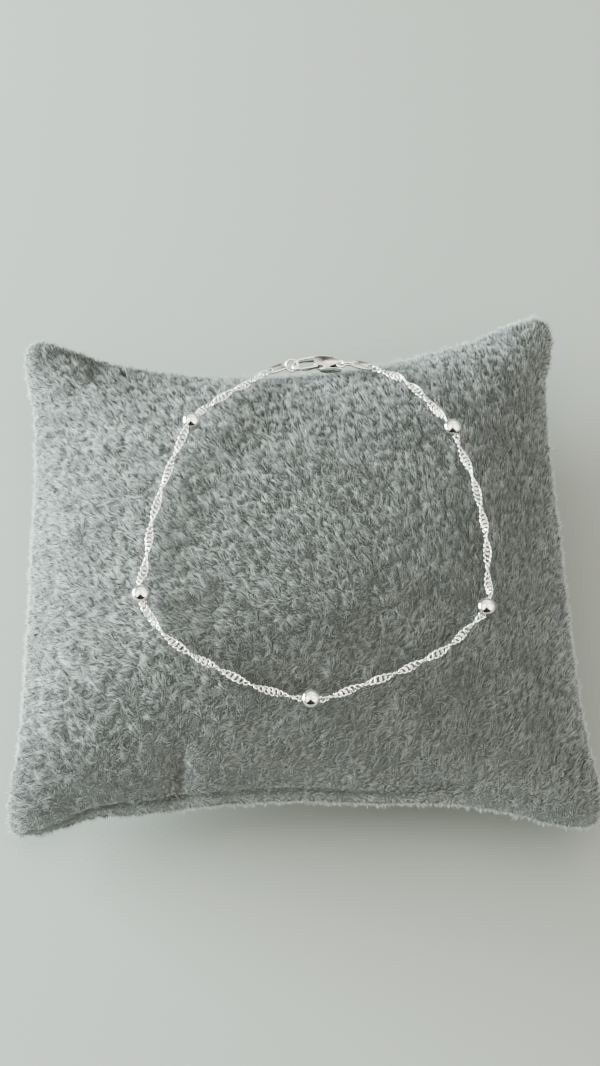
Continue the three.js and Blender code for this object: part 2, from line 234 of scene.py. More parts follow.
# %% The chain's line, read from the tube
def rings_along(node, width, start):
    """The middles of a swept tube's rings of vertices, in order from the end nearest to start."""
    bm = merged_copy(node)
    bm.verts.index_update()
    first = min(bm.verts, key=lambda v: (v.co - start).length).co.copy()
    ring = {v for v in bm.verts if (v.co - first).length < 1.1 * width}
    seen, middles = set(ring), []
    print("vertices round the tube:", len(ring))
    while ring:
        in_order = sorted(ring, key=lambda v: v.index)
        middles.append(sum((v.co for v in in_order), Vector()) / len(ring))
        ring = {edge.other_vert(v) for v in ring for edge in v.link_edges} - seen
        seen |= ring
    bm.free()
    return np.array(middles)


def main_axes(node):
    """A node's middle, and its longest, middle and shortest directions."""
    spots = np.unique(points_of(node).round(7), axis=0)
    middle = (spots.max(0) + spots.min(0)) / 2
    axes = np.linalg.svd(spots - spots.mean(0), full_matrices=False)[2]
    return Vector(middle), [Vector(a) for a in axes]


TUBE_WIDTH = 1.2 * MM
LINE = rings_along("chain", TUBE_WIDTH, Vector(middle_of("end_tag_left")))
tube_length = np.linalg.norm(np.diff(LINE, axis=0), axis=1).sum()
print("rings:", len(LINE), "tube's length, mm:", round(tube_length / MM, 1))

# %% [markdown]
# The first and last links hang in the outer eyelets of the two end tags. So the line is drawn on by
# a link's half length at each end, until it stands in the eyelet. Then it becomes a smooth curve
# that gives a place and a direction at any distance along the chain.

# %% Sizes of the links, and the line drawn on to the tags
WIRE = 0.27 * MM
LINK_LONG, LINK_WIDE = 1.62 * MM, 1.25 * MM  # over all
LINK_SLANT = math.radians(40)  # to the chain's own direction
LINK_PITCH = 0.86 * MM
LINK_BEND = 0.7 * WIRE  # how far the half twist lifts a link's side out of its plane
HALF_TURN = 6.3 * MM  # along the chain, from one broad stretch to the next
LINK_HANG = 0.6 * WIRE  # from the eyelet's rim to the middle of the wire that hangs on it
TAG_EYELET = 0.98 * MM  # the hole at each end of a tag
TAG_REACH = 1.54 * MM  # from the tag's middle to the middle of that hole


def last_link_place(tag, end, inner):
    middle, axes = main_axes(tag)
    out = axes[0] * math.copysign(1, axes[0].dot(Vector(end - inner)))
    eyelet = middle + TAG_REACH * out
    reach = TAG_EYELET / 2 - LINK_HANG + (LINK_LONG - WIRE) / 2
    return np.array(eyelet + reach * out), axes[2]


clasp_middle = np.array(middle_of("clasp_body"))
left_link, left_across = last_link_place("end_tag_left", LINE[0], clasp_middle)
right_link, right_across = last_link_place("end_tag_right", LINE[-1], clasp_middle)
LINE = np.vstack([left_link, LINE, right_link])


def smooth_line(knots, parts=12):
    """A smooth curve through the knots, with the distance along it at each of its points."""
    before = np.vstack([2 * knots[0] - knots[1], knots[:-2], knots[-3:-2]])[:len(knots) - 1]
    after = np.vstack([knots[2:], 2 * knots[-1] - knots[-2]])
    first, last = knots[:-1], knots[1:]
    t = np.linspace(0, 1, parts, endpoint=False)[None, :, None]
    p0, p1, p2, p3 = (a[:, None, :] for a in (before, first, last, after))
    curve = 0.5 * (
        2 * p1 + (p2 - p0) * t + (2 * p0 - 5 * p1 + 4 * p2 - p3) * t ** 2
        + (3 * p1 - p0 - 3 * p2 + p3) * t ** 3
    )
    curve = np.vstack([curve.reshape(-1, 3), knots[-1]])
    return curve, np.concatenate([[0], np.cumsum(np.linalg.norm(np.diff(curve, axis=0), axis=1))])


CURVE, DISTANCE_ALONG = smooth_line(LINE)
CHAIN_LENGTH = DISTANCE_ALONG[-1]
print("chain's length, mm:", round(CHAIN_LENGTH / MM, 1))


def at(distance):
    return np.column_stack([np.interp(distance, DISTANCE_ALONG, CURVE[:, k]) for k in range(3)])


# %% [markdown]
# A link starts as a ring of round wire, spun from a small circle. Its vertices are then moved on to
# an oval bent out of its plane, so that each long side rises towards one end and dips towards the
# other. That half twist is what lets curb links lie so flat in each other. A plain torus would be
# less work, but untwisted rings that lie this flat would cut into each other.

# %% One curb link
LINK_SIDES, LINK_STEPS = 6, 18
ROUND_LINK = 1.0 * MM  # radius of the ring that the oval is bent from


def curb_link():
    bm = bmesh.new()
    section = bmesh.ops.create_circle(bm, radius=WIRE / 2, segments=LINK_SIDES)["verts"]
    bmesh.ops.rotate(bm, verts=section, matrix=Matrix.Rotation(math.pi / 2, 3, "X"))
    bmesh.ops.translate(bm, verts=section, vec=(ROUND_LINK, 0, 0))
    bmesh.ops.spin(
        bm, geom=bm.verts[:] + bm.edges[:], axis=(0, 0, 1), angle=2 * math.pi, steps=LINK_STEPS,
        use_merge=True,
    )
    half_long, half_wide = (LINK_LONG - WIRE) / 2, (LINK_WIDE - WIRE) / 2
    for v in bm.verts:
        turn = math.atan2(v.co.y, v.co.x)
        beyond = math.hypot(v.co.x, v.co.y) - ROUND_LINK
        outward = Vector((math.cos(turn) / half_long, math.sin(turn) / half_wide)).normalized()
        v.co = (
            half_long * math.cos(turn) + beyond * outward.x,
            half_wide * math.sin(turn) + beyond * outward.y,
            LINK_BEND * math.sin(2 * turn) + v.co.z,
        )
    bmesh.ops.rotate(bm, verts=bm.verts, matrix=Matrix.Rotation(LINK_SLANT, 3, "Z"))
    return finished_mesh("link", bm)


LINK = curb_link()
print("faces in a link:", len(LINK.polygons))

# %% [markdown]
# The chain turns half round every few millimetres, a little unevenly, as a chain does that has been
# worn. An even twist is quicker to write but looks like a drill. So the pace is drawn at random along
# the way, and the whole is scaled to a number of half turns that suits both end links.

# %% The chain's twist
CHAIN_SEED = 5
SLOWEST, QUICKEST = 0.82, 1.25  # the range of paces that the chain turns at
PACES = 24  # how many times the pace is drawn along it


def turn_along(distance, first, last):
    """The chain's twist at each distance: even on the whole, quicker and slower in places."""
    rng = np.random.default_rng(CHAIN_SEED)
    knots = np.linspace(0, CHAIN_LENGTH, PACES)
    pace = np.interp(distance, knots, rng.uniform(SLOWEST, QUICKEST, PACES))
    turn = np.concatenate([[0], np.cumsum((pace[1:] + pace[:-1]) / 2 * np.diff(distance))])
    halves = round(turn[-1] / HALF_TURN)
    print("half turns:", halves)
    return first + turn / turn[-1] * (halves * math.pi + last - first)


# %% [markdown]
# Now a link is set at each step along the line, turned as far as the chain is turned there. Two
# hundred objects would be slow, so all the links are made as one mesh from arrays. The links inside
# a bead can't be seen and would touch its bore, so they are left out.

# %% The whole chain
NEARBY = 0.2 * MM  # each way along the line, to read its direction
BEADS = [f"bead_{k}" for k in range(1, 6)]
BEAD_MIDDLES = np.array([middle_of(name) for name in BEADS])
BEAD_BALL = max(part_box("bead_1")[1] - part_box("bead_1")[0])
INSIDE_BEAD = 0.36 * BEAD_BALL  # a link this near a bead's middle is hidden in it


def chain_mesh(link):
    count = round(CHAIN_LENGTH / LINK_PITCH) + 1
    distance = np.linspace(0, CHAIN_LENGTH, count)
    place = at(distance)
    along = unit(at(distance + NEARBY) - at(distance - NEARBY))
    side = unit(np.cross([0, 0, 1], along))
    up = np.cross(along, side)
    ends = [
        math.atan2(np.dot(across, up[k]), np.dot(across, side[k]))
        for across, k in ((left_across, 0), (right_across, -1))
    ]
    turn = turn_along(distance, *ends)[:, None]
    wide = np.cos(turn) * side + np.sin(turn) * up
    thick = np.cross(along, wide)
    shape, _ = vertex_arrays(link)
    gaps = np.linalg.norm(place[:, None] - BEAD_MIDDLES[None], axis=2).min(1)
    shown = gaps > INSIDE_BEAD
    frames = np.stack([along, wide, thick], 1)[shown]
    spots = np.einsum("vk,nkx->nvx", shape, frames) + place[shown][:, None]
    faces = np.array([p.vertices[:] for p in link.polygons])
    corners = faces[None] + len(shape) * np.arange(len(spots))[:, None, None]
    mesh = bpy.data.meshes.new("chain_links")
    mesh.from_pydata(spots.reshape(-1, 3), [], corners.reshape(-1, 4))
    mesh.shade_smooth()
    print("links:", len(spots), "pitch, mm:", round((distance[1] - distance[0]) / MM, 3))
    return mesh


piece("chain_links", chain_mesh(LINK), SILVER, replaces=["chain"])

# %% [markdown]
# ## Beads and rings
# A bead is a hollow silver ball, rolled in a little round its bore. A ready-made sphere has no bore,
# and cutting one leaves ragged edges. So the bead's profile, an arc with a small lip at each end, is
# spun once round the bore's line, which is the chain's direction there.

# %% Beads
BORE = 1.32 * MM
BEAD_ROWS, BEAD_STEPS = 28, 40
BEAD_LIP = 0.08 * MM  # how far the bore's edge is rolled in
LIP_SHARP_FROM = 60  # degrees between two faces


def bead_mesh(name, middle, along):
    bm = bmesh.new()
    radius, mouth = BEAD_BALL / 2, math.asin(BORE / BEAD_BALL)
    turns = np.linspace(mouth, math.pi - mouth, BEAD_ROWS + 1)
    arc = [(radius * math.cos(turn), radius * math.sin(turn)) for turn in turns]
    inner = [(x, BORE / 2 - BEAD_LIP / 2) for x in (arc[-1][0] + BEAD_LIP, arc[0][0] - BEAD_LIP)]
    verts = [bm.verts.new((x, y, 0)) for x, y in arc + inner]
    for k in range(len(verts)):
        bm.edges.new((verts[k], verts[(k + 1) % len(verts)]))
    bmesh.ops.spin(
        bm, geom=bm.verts[:] + bm.edges[:], axis=(1, 0, 0), angle=2 * math.pi, steps=BEAD_STEPS,
        use_merge=True,
    )
    turn = Vector(along).to_track_quat("X", "Z").to_matrix()
    bmesh.ops.rotate(bm, verts=bm.verts, matrix=turn)
    bmesh.ops.translate(bm, verts=bm.verts, vec=middle)
    return finished_mesh(name, bm, LIP_SHARP_FROM)


for name, middle in zip(BEADS, BEAD_MIDDLES):
    nearest = DISTANCE_ALONG[np.linalg.norm(CURVE - middle, axis=1).argmin()]
    along = (at(nearest + MM) - at(nearest - MM))[0]
    piece(f"silver_{name}", bead_mesh(name, middle, along), SILVER, replaces=[name])

# %% [markdown]
# The jump ring and the ring on the other tag are cut from round wire and soldered shut. A torus would
# do, but a small circle spun once round the ring's axis is the same shape and shows where it comes
# from. The axis, radius and wire are measured on the CAD node, so that a ring keeps its tilt.

# %% Rings
RING_SIDES, RING_STEPS = 12, 48


def ring_mesh(node):
    middle, axes = main_axes(node)
    spots = points_of(node) - np.array(middle)
    wire = np.ptp(spots @ np.array(axes[2]))
    radius = np.linalg.norm(spots, axis=1).max() - wire / 2
    bm = bmesh.new()
    section = bmesh.ops.create_circle(bm, radius=wire / 2, segments=RING_SIDES)["verts"]
    bmesh.ops.rotate(bm, verts=section, matrix=Matrix.Rotation(math.pi / 2, 3, "X"))
    bmesh.ops.translate(bm, verts=section, vec=(radius, 0, 0))
    bmesh.ops.spin(
        bm, geom=bm.verts[:] + bm.edges[:], axis=(0, 0, 1), angle=2 * math.pi, steps=RING_STEPS,
        use_merge=True,
    )
    bmesh.ops.rotate(bm, verts=bm.verts, matrix=axes[2].to_track_quat("Z", "Y").to_matrix())
    bmesh.ops.translate(bm, verts=bm.verts, vec=middle)
    print(node, "radius and wire, mm:", round(radius / MM, 2), round(wire / MM, 2))
    return finished_mesh(node, bm)


for node in ("jump_ring", "connecting_ring"):
    piece(f"silver_{node}", ring_mesh(node), SILVER, replaces=[node])

# %% [markdown]
# ### Tags and clasp
# The two end tags are small punched plates, and the lobster clasp is a casting with its lever riveted
# into a slot. Tumbling wears every edge of them round, and a round edge is what catches the light. A
# subdivision would round the flat faces too. So the flat facets are joined again, and each real edge
# gets a narrow bevel.

# %% Tags and clasp
TUMBLED_EDGE = 0.07 * MM
FLAT_WITHIN, EDGE_FROM, SHARP_FROM = 1, 32, 50  # degrees between two faces


def tumbled(node):
    bm = merged_copy(node)
    flat = math.radians(FLAT_WITHIN)
    bmesh.ops.dissolve_limit(bm, verts=bm.verts, edges=bm.edges, angle_limit=flat)
    inner = [e for e in bm.edges if len(e.link_faces) == 2]
    edges = [e for e in inner if e.calc_face_angle() > math.radians(EDGE_FROM)]
    bmesh.ops.bevel(
        bm, geom=edges, offset=TUMBLED_EDGE, segments=2, profile=0.5, affect="EDGES", material=-1,
        clamp_overlap=True,
    )
    bmesh.ops.triangulate(bm, faces=[f for f in bm.faces if len(f.verts) > 4])
    return finished_mesh(node, bm, SHARP_FROM)


for node in ("end_tag_left", "end_tag_right", "clasp_body", "clasp_lever"):
    body = LEVER if node == "clasp_lever" else DISPLAY
    piece(f"silver_{node}", tumbled(node), SILVER, body, replaces=[node])

# %% [markdown]
# ## The cushion's cover
# A display cushion is two squares of plush sewn together and stuffed, so its sides pull in between
# the four ears. The CAD solid has that form in coarse facets. Here a copy of it becomes quads, is
# subdivided into a smooth skin, and is later drawn in to where the backing cloth lies under the pile.
# The seam is where faces that look up meet faces that look down, and points on it are kept.

# %% The cover's backing cloth
SMOOTH_LEVELS = 2
SEAM_PARTS = 6  # points on each facet's stretch of the seam


def cushion_cover():
    bm = merged_copy("display_cushion")
    bmesh.ops.join_triangles(
        bm, faces=bm.faces, angle_face_threshold=math.pi, angle_shape_threshold=math.pi,
    )
    crossing = [
        edge for edge in bm.edges
        if len(edge.link_faces) == 2 and edge.link_faces[0].normal.z * edge.link_faces[1].normal.z < 0
    ]
    parts = [k / SEAM_PARTS for k in range(SEAM_PARTS)]
    stitches = [e.verts[0].co.lerp(e.verts[1].co, part) for e in crossing for part in parts]
    cover = piece(
        "cushion_cover", finished_mesh("cushion_cover", bm), BACKING,
        replaces=["display_cushion"],
    )
    smooth = cover.modifiers.new("smooth", "SUBSURF")
    smooth.levels = smooth.render_levels = SMOOTH_LEVELS
    depsgraph = bpy.context.evaluated_depsgraph_get()
    cover.data = bpy.data.meshes.new_from_object(cover.evaluated_get(depsgraph))
    cover.modifiers.clear()
    return cover, np.array(stitches)


COVER, STITCHES = cushion_cover()
print("quads:", len(COVER.data.polygons), "seam points:", len(STITCHES))

# %% [markdown]
# The stuffing fills the real ears too, so they are blunt and round, where the CAD solid runs out to a
# thin edge. So the skin near each ear is smoothed again and again, which blunts it, and then swells
# by about a millimetre. A ball at each corner would fill it too, but would show where it begins.

# %% Stuff the ears
EAR_REACH, EAR_ROUNDING = 11 * MM, 10
# How far each ear swells, by the side that it is on.
EARS = {(-1, 1): 1.3 * MM, (1, 1): 1.5 * MM, (-1, -1): 0.7 * MM, (1, -1): 0.7 * MM}
ALL_AXES = {"use_axis_x": True, "use_axis_y": True, "use_axis_z": True}


def stuff_ears(mesh):
    bm = bmesh.new()
    bm.from_mesh(mesh)
    tips = []
    for (x, y), swell in EARS.items():
        tip = max(bm.verts, key=lambda v: x * v.co.x + y * v.co.y).co.copy()
        share = {v: max(0, 1 - (v.co - tip).length / EAR_REACH) for v in bm.verts}
        for k in range(EAR_ROUNDING):
            ear = [v for v in bm.verts if share[v] > 0.5 * k / EAR_ROUNDING]
            bmesh.ops.smooth_vert(bm, verts=ear, factor=0.5, **ALL_AXES)
        bm.normal_update()
        for v in bm.verts:
            v.co += swell * share[v] ** 0.5 * v.normal
        tips.append(max(bm.verts, key=lambda v: x * v.co.x + y * v.co.y).co.copy())
    bm.to_mesh(mesh)
    bm.free()
    return np.array(tips)


EAR_TIPS = stuff_ears(COVER.data)
print("ear tips, mm:", (EAR_TIPS / MM).round(1).tolist())

# %% [markdown]
# A sewn cover is never quite even: it has a soft dent where the stuffing gives way, and a groove
# where the opening in the near side was closed by hand. The skin's points are moved along their own
# normals, as a sculptor's brush would, so that the dents have soft edges and the rest stays as it is.

# %% Press in the dents and the groove
# Each dent's place across and along, its half sizes and its depth, in millimetres.
DENTS = [(-20.5, -40.5, 1.8, 4.5, 2.2), (21.5, -43.6, 4.0, 0.9, 0.6)]
# The groove's places along the near side, and how far in from the seam it is there.
GROOVE = np.array([[-46, 0.2], [-40, 0.5], [-28, 1.9], [17.3, 1.9]]) * MM
GROOVE_ENDS = np.array([-47, -44, 17.3, 17.8]) * MM  # it starts softly and ends sharply
GROOVE_HALF, GROOVE_DEPTH = 0.32 * MM, 0.9 * MM


def in_patch(spots, x, y, half_x, half_y):
    """From 0 to 1: how far in a soft-edged patch each spot is. The patch is given in millimetres."""
    return np.exp(-((spots[:, 0] / MM - x) / half_x) ** 2 - ((spots[:, 1] / MM - y) / half_y) ** 2)


def dent(skin, normal):
    for *patch, depth in DENTS:
        skin -= depth * MM * (in_patch(skin, *patch) * (normal[:, 2] > 0))[:, None] * normal
    return skin


def tree_of(spots):
    tree = kdtree.KDTree(len(spots))
    for k, spot in enumerate(spots):
        tree.insert(spot, k)
    tree.balance()
    return tree


SEAM_TREE = tree_of(STITCHES)


def seam_gap(spots):
    return np.array([SEAM_TREE.find(p)[2] for p in spots])


def in_groove(spots, normal):
    """From 0 to 1: how deep a spot is in the groove over the hand-sewn opening in the near side."""
    aside = (seam_gap(spots) - np.interp(spots[:, 0], *GROOVE.T)) / GROOVE_HALF
    along = np.interp(spots[:, 0], GROOVE_ENDS, [0, 1, 1, 0])
    return along * (normal[:, 2] > 0.1) * (spots[:, 1] < 0) * np.exp(-aside ** 2)


SKIN, SKIN_NORMAL = vertex_arrays(COVER.data)
SKIN = dent(SKIN, SKIN_NORMAL)
SKIN -= GROOVE_DEPTH * in_groove(SKIN, SKIN_NORMAL)[:, None] * SKIN_NORMAL
print("cover's size, mm:", np.ptp(SKIN, axis=0).round(4) / MM)

# %% [markdown]
# The CAD solid is as large as the cushion with its pile on. So the backing cloth lies a pile's height
# further in, except beside the seam, where the cushion is thin and the two cloths would cross. It
# stays just above the floor. A cloth simulation could swell the cushion, but it would lose the form
# that the CAD solid already has.

# %% Draw the backing in under the pile
BACKING_DEPTH = 0.9 * MM  # from the pile's middle height down to the backing
THIN_REACH, THINNEST = 3 * MM, 0.2  # beside the seam only this share of that depth is left
FLOOR_CLEAR = 0.05 * MM
depth = BACKING_DEPTH * np.clip(seam_gap(SKIN) / THIN_REACH, THINNEST, 1)
BACKED = SKIN - depth[:, None] * SKIN_NORMAL
BACKED[:, 2] = np.maximum(BACKED[:, 2], FLOOR_CLEAR)
COVER.data.vertices.foreach_set("co", BACKED.astype(np.float32).ravel())
COVER.data.update()
print("backing lies in by, mm:", (depth.min() / MM).round(2), "to", (depth.max() / MM).round(2))

# %% [markdown]
# ## The pile
# Plush is a field of short fibres that lean one way and gather in small tufts, and the dark gaps
# between the tufts are what makes it look soft. A particle system would do, but its hairs aren't
# meshes. So each fibre is a thin four-sided spike in one big array, which keeps it to four faces.
# A fibre leans along the comb direction, and its tip is drawn towards its tuft's.

# %% Sizes of the pile
PILE_SEED = 11
noise.seed_set(PILE_SEED)  # without it, noise_vector comes out different in each run
FIBRES_PER_PIECE = 49_000  # four triangles each, under the 200,000 that a piece may have
FIBRE_LENGTH = 1.2 * MM
FIBRE_WIDTH = 0.088 * MM
LEAN = math.radians(46)  # from the skin's normal
TUFTS_PER_FIBRE = 0.38
TUFT_PULL = 0.25
COMB_SWIRL = np.array([15 * MM, -12 * MM])  # the pile turns half a circle round this point
SWIRL_RADIUS = 5 * MM
PARTING = math.radians(205)  # where, round that point, the pile parts
PARTING_WIDTH = math.radians(20)
STAND_REACH, STAND_LEAN = 7 * MM, 0.1  # round the tip of an ear the pile leans only this much
COMB_FROM = math.radians(7.5)  # the pile's direction just past the parting
CURL, CURL_SIZE = 1.4, 1.3 * MM  # how far the tufts curl off that direction, and over what distance
TUFT_SPREAD, FIBRE_SPREAD = 0.35, 0.16  # how far a tuft, and a fibre in it, leans its own way
STRAYS = 0.25  # share of the fibres that belong to no tuft
CLUMP, CLUMP_SIZE = 0.4 * MM, 1.15 * MM  # tips drift together by this much, over this distance
CLUMP_RISE = 0.9  # how much longer the pile stands in the middle of a clump
TUFT_UNEVEN, FIBRE_UNEVEN = 0.12, 0.1  # how much the tufts, and the fibres, differ in length
TUFT_SHADES, FIBRE_SHADES = 0.06, 0.2  # and in shade
APART = Vector((5, 8, 3))  # moves one noise away from another of the same size
MOTTLE, MOTTLE_SIZE = 0.6, 5 * MM  # how far whole patches are lighter or darker
UV_FROM, UV_TO = 0.02, 0.98  # shade and height stay just inside the UV map's square
# Patches of painted light and shade on the pile, darker over the far side, the left and the near-left
# corner, and paler along the near lip: the place across and along, half sizes in mm, and shade.
PAINTED_LIGHT_AND_SHADE = [
    (-2, 37, 34, 12, -0.45), (-38, 42, 9, 8, -0.2), (-31, 3, 7, 20, -0.25),
    (-36, -40, 10, 7, -0.6), (28, -46, 18, 3, 0.6),
]
UNDERSIDE, UNDERSIDE_FROM = 0.12, 4 * MM  # share of the top's pile, and how far in it thins out
FACES_DOWN = -0.35  # how far down a face looks that counts as the underside
SEAM_REACH, SEAM_SHORTER = 2 * MM, 0.5  # beside the seam the pile is shorter and less tufted
SEAM_PAINTED_LIGHT, SEAM_PAINTED_SHADE = 1.6, 0.3  # beside the seam a pale rim of painted light on the pile, and painted shade down in the seam itself
GROOVE_SHORTER = 0.75  # in the groove the pile is shorter by this share
CHAIN_BED, BEAD_BED = 0.7 * MM, 0.52 * BEAD_BALL  # radius of the beds pressed into the pile
BED_DEPTH = 1.6 * MM
print("fibres in all:", 4 * FIBRES_PER_PIECE, "of", FIBRE_WIDTH / MM, "mm")

# %% [markdown]
# The fibres grow at random spots, the same ones in each run because the numbers are seeded. An even
# grid would show as rows. The cushion lies on its underside and hides it, so few grow there.

# %% Where the fibres grow
COVER.data.calc_loop_triangles()
CORNERS = np.empty(len(COVER.data.loop_triangles) * 3, np.int32)
COVER.data.loop_triangles.foreach_get("vertices", CORNERS)
CORNERS = CORNERS.reshape(-1, 3)


def pile_share(corners):
    """How much of the pile each triangle of the backing gets: less where the cushion lies on it."""
    a, b, c = (BACKED[corners[:, k]] for k in range(3))
    faces_down = SKIN_NORMAL[corners].mean(1)[:, 2] < FACES_DOWN
    under = faces_down & (seam_gap(SKIN[corners].mean(1)) > UNDERSIDE_FROM)
    return np.linalg.norm(np.cross(b - a, c - a), axis=1) * np.where(under, UNDERSIDE, 1.0)


def scatter(rng, count, corners):
    """Random spots on the backing, each with the skin's normal there."""
    weight = pile_share(corners)
    chosen = corners[rng.choice(len(corners), count, p=weight / weight.sum())]
    share = rng.random((count, 2))
    share[share.sum(1) > 1] = 1 - share[share.sum(1) > 1]
    share = np.column_stack([1 - share.sum(1), share])[:, :, None]
    return (BACKED[chosen] * share).sum(1), unit((SKIN_NORMAL[chosen] * share).sum(1))


print("backing triangles:", len(CORNERS))

# %% [markdown]
# The brushed direction turns round one point of the cushion, as it does where a hand has stroked it,
# and small curls break it up. A single direction would look like brushed metal. The chain and the
# beads have pressed the fibres down where they lie, so the tips are moved under them.

# %% Which way the fibres lean
CHAIN_TREE = tree_of(CURVE)


def comb_arrow(spot, jitter):
    """The way the pile is brushed: an arrow over the cushion, shorter where the pile stands up."""
    away = spot[:, :2] - COMB_SWIRL
    turn = (np.arctan2(away[:, 1], away[:, 0]) - PARTING) % (2 * math.pi)
    angle = COMB_FROM + turn / 2 + jitter
    from_parting = np.minimum(turn, 2 * math.pi - turn) / PARTING_WIDTH
    distance = np.linalg.norm(away, axis=1)
    length = np.minimum(from_parting, 1) * distance / (distance + SWIRL_RADIUS)
    curls = np.array([noise.noise_vector(Vector(p) / CURL_SIZE) for p in spot])
    return length[:, None] * np.column_stack([np.cos(angle), np.sin(angle), 0 * angle]) + CURL * curls


def press(root, tip, normal):
    """Bends the fibres down under the chain and the beads, which lie on them."""
    nearest = np.array([CHAIN_TREE.find(p)[0] for p in root])
    for middle, radius in [(nearest, CHAIN_BED)] + [(m, BEAD_BED) for m in BEAD_MIDDLES]:
        away = tip - middle
        height = (away * normal).sum(1)
        aside = np.linalg.norm(away - height[:, None] * normal, axis=1)
        limit = -np.sqrt(np.maximum(radius ** 2 - aside ** 2, 0))
        down = np.where(aside < radius, np.maximum(height - limit, 0), 0)
        tip = tip - np.minimum(down, BED_DEPTH)[:, None] * normal
    return tip


print("the pile turns round, mm:", (COMB_SWIRL / MM).tolist())

# %% [markdown]
# Each tuft has a leader, and the fibres nearest to it take its length and its lean. A fibre is then
# no more than a root, a tip and a shade from dark to light. The clumps are a noise that makes the
# pile longer and draws its tips together, which is cheaper than bending every fibre.

# %% Grow the fibres
def grow_fibres(rng, count, corners):
    root, normal = scatter(rng, count, corners)
    by_seam, groove = np.maximum(0, 1 - seam_gap(root) / SEAM_REACH), in_groove(root, normal)
    tufts = int(count * TUFTS_PER_FIBRE)
    tree = tree_of(root[:tufts])
    tuft = np.array([tree.find(p)[1] for p in root])

    # Which way each fibre leans.
    arrow = comb_arrow(root[:tufts], rng.normal(0, TUFT_SPREAD, tufts))[tuft]
    arrow += rng.normal(0, FIBRE_SPREAD, arrow.shape)
    from_ear = np.linalg.norm(root[:, None] - EAR_TIPS[None], axis=2).min(1) / STAND_REACH
    arrow *= (np.clip(from_ear, STAND_LEAN, 1) * (1 - SEAM_SHORTER * by_seam))[:, None]
    flat = arrow - (arrow * normal).sum(1)[:, None] * normal
    direction = unit(normal + math.tan(LEAN) * flat)

    # How long it is, and where that takes its tip.
    length = rng.normal(1, TUFT_UNEVEN, tufts)[tuft] + rng.normal(0, FIBRE_UNEVEN, count)
    length *= FIBRE_LENGTH * (1 - SEAM_SHORTER * by_seam) * (1 - GROOVE_SHORTER * groove)
    length *= 1 + CLUMP_RISE * np.array([noise.noise(Vector(p) / CLUMP_SIZE + APART) for p in root])
    tip = root + direction * length[:, None]

    # Tufts and clumps draw the tips together, and what lies on the pile presses them down.
    pull = np.where(rng.random(count) < STRAYS, 0, TUFT_PULL) * (1 - by_seam)
    tip += pull[:, None] * (root[tuft] - root)
    drift = np.array([noise.noise_vector(Vector(p) / CLUMP_SIZE) for p in root])
    tip += CLUMP * (drift - (drift * normal).sum(1)[:, None] * normal)
    tip = press(root, tip, normal)
    tip[:, 2] = np.maximum(tip[:, 2], FLOOR_CLEAR)

    # How light it is.
    # Painted shade: the fibres in the groove are made darker, for the shade that falls in it.
    shade = rng.normal(0.5, TUFT_SHADES, tufts)[tuft] + rng.normal(0, FIBRE_SHADES, count) - groove
    # Painted light and shade by the seam: a pale rim of painted light beside it, painted shade down in
    # it.
    shade += by_seam * (SEAM_PAINTED_LIGHT - (SEAM_PAINTED_LIGHT + SEAM_PAINTED_SHADE) * by_seam)
    shade += [MOTTLE * noise.noise(Vector(p) / MOTTLE_SIZE) for p in root]
    # Painted light and shade in the larger patches listed with the pile's sizes.
    shade += sum(change * in_patch(root, *patch) for *patch, change in PAINTED_LIGHT_AND_SHADE)
    shade = np.clip(shade, UV_FROM, UV_TO)
    print("fibres' mean length, mm:", round(np.linalg.norm(tip - root, axis=1).mean() / MM, 2))
    return root, tip, shade


# %% [markdown]
# A mesh of many thousand equal spikes is quickest made straight from arrays: three corners at the root,
# one at the tip and four faces, so that each fibre is closed. The UV map has the fibre's own shade one
# way and its height the other, for the material above.

# %% A mesh of fibres
OFF_AXIS = [0.3, 0.2, 0.93]  # any direction that the fibres don't point in


def pile_mesh(name, root, tip, shade):
    count = len(root)
    along = unit(tip - root)
    side = unit(np.cross(along, OFF_AXIS))
    other = np.cross(along, side)
    place = np.empty((count, 4, 3))
    for k in range(3):
        turn = 2 * math.pi * k / 3
        outward = math.cos(turn) * side + math.sin(turn) * other
        place[:, k] = root + FIBRE_WIDTH / math.sqrt(3) * outward
    place[:, 3] = tip
    place[:, :, 2] = np.maximum(place[:, :, 2], FLOOR_CLEAR)
    spike = np.array([[0, 1, 3], [1, 2, 3], [2, 0, 3], [2, 1, 0]])
    corners = (spike[None] + 4 * np.arange(count)[:, None, None]).reshape(-1)
    mesh = bpy.data.meshes.new(name)
    mesh.vertices.add(4 * count)
    mesh.vertices.foreach_set("co", place.astype(np.float32).ravel())
    mesh.loops.add(12 * count)
    mesh.loops.foreach_set("vertex_index", corners.astype(np.int32))
    mesh.polygons.add(4 * count)
    mesh.polygons.foreach_set("loop_start", np.arange(0, 12 * count, 3, dtype=np.int32))
    height = np.where(corners % 4 == 3, UV_TO, UV_FROM)
    mesh.update(calc_edges=True)
    layer = mesh.uv_layers.new(name="OFBake")
    across = np.repeat(shade, 12)
    layer.uv.foreach_set("vector", np.column_stack([across, height]).astype(np.float32).ravel())
    mesh.shade_smooth()
    return mesh


# %% [markdown]
# One mesh of all the fibres would be too heavy to export. The pile is cut in four quarters along lines
# that leave equal pile on each side, and each is a piece of its own with its own random numbers.

# %% Build the pile in four quarters
def halves(corners, axis):
    """Parts a set of triangles in two along an axis, so that equal pile grows on both."""
    order = corners[np.argsort(BACKED[corners].mean(1)[:, axis])]
    share = np.cumsum(pile_share(order))
    middle = np.searchsorted(share, share[-1] / 2)
    return order[:middle], order[middle:]


